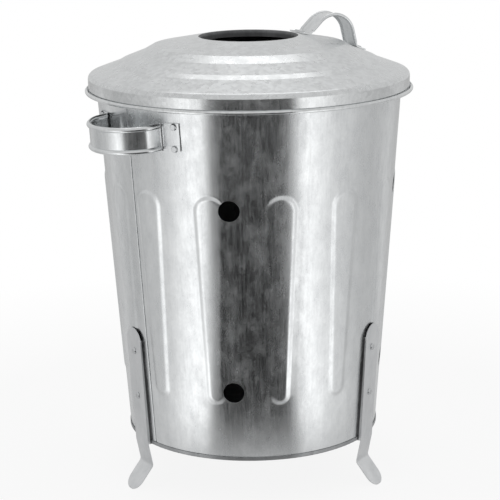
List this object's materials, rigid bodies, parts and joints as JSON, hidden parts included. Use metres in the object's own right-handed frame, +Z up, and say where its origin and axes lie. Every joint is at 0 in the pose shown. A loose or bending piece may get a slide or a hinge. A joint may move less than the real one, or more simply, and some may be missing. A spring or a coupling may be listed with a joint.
{
  "type": "garden incinerator bin",
  "caption": "Tapered round galvanised steel bin for burning garden waste, with fluted vented walls, splayed strap legs, side handles and a lift-off stepped lid with a flue hole.",
  "frame": {"origin": "on the floor under the middle of the bin, at the level the feet stand on", "axes": "+Z up; -Y towards the front, between the two front legs; +X towards the right-hand side seen from the front"},
  "size_m": [0.4596, 0.4595, 0.6546],
  "materials": {
    "galvanised_wall": "bright galvanised sheet with soft streaks",
    "galvanised_base": "bright galvanised sheet",
    "galvanised_lid": "galvanised sheet with a fine dull spangle",
    "galvanised_strap": "dull galvanised strip",
    "galvanised_handle": "bright galvanised strip",
    "steel_rivet": "zinc-plated, satin",
    "steel_wire": "plain drawn wire"
  },
  "bodies": {
    "bin": {"front_shell": "galvanised_wall", "rear_shell": "galvanised_wall", "rim_wire": "steel_wire", "base_plate": "galvanised_base", "leg_left": "galvanised_strap", "leg_right": "galvanised_strap", "leg_rear": "galvanised_strap", "leg_rivets_left": "steel_rivet", "leg_rivets_right": "steel_rivet", "leg_rivets_rear": "steel_rivet", "side_handle_left": "galvanised_handle", "side_handle_right": "galvanised_handle", "handle_rivets_left": "steel_rivet", "handle_rivets_right": "steel_rivet"},
    "lid": {"lid_shell": "galvanised_lid", "lid_edge_wire": "steel_wire", "lid_handle": "galvanised_handle", "lid_handle_rivets": "steel_rivet"}
  },
  "joints": [
    {"name": "lid_lift", "type": "slide", "parent": "bin", "child": "lid", "axis": [0, 0, 1], "range_m": [0, 0.3]}
  ]
}
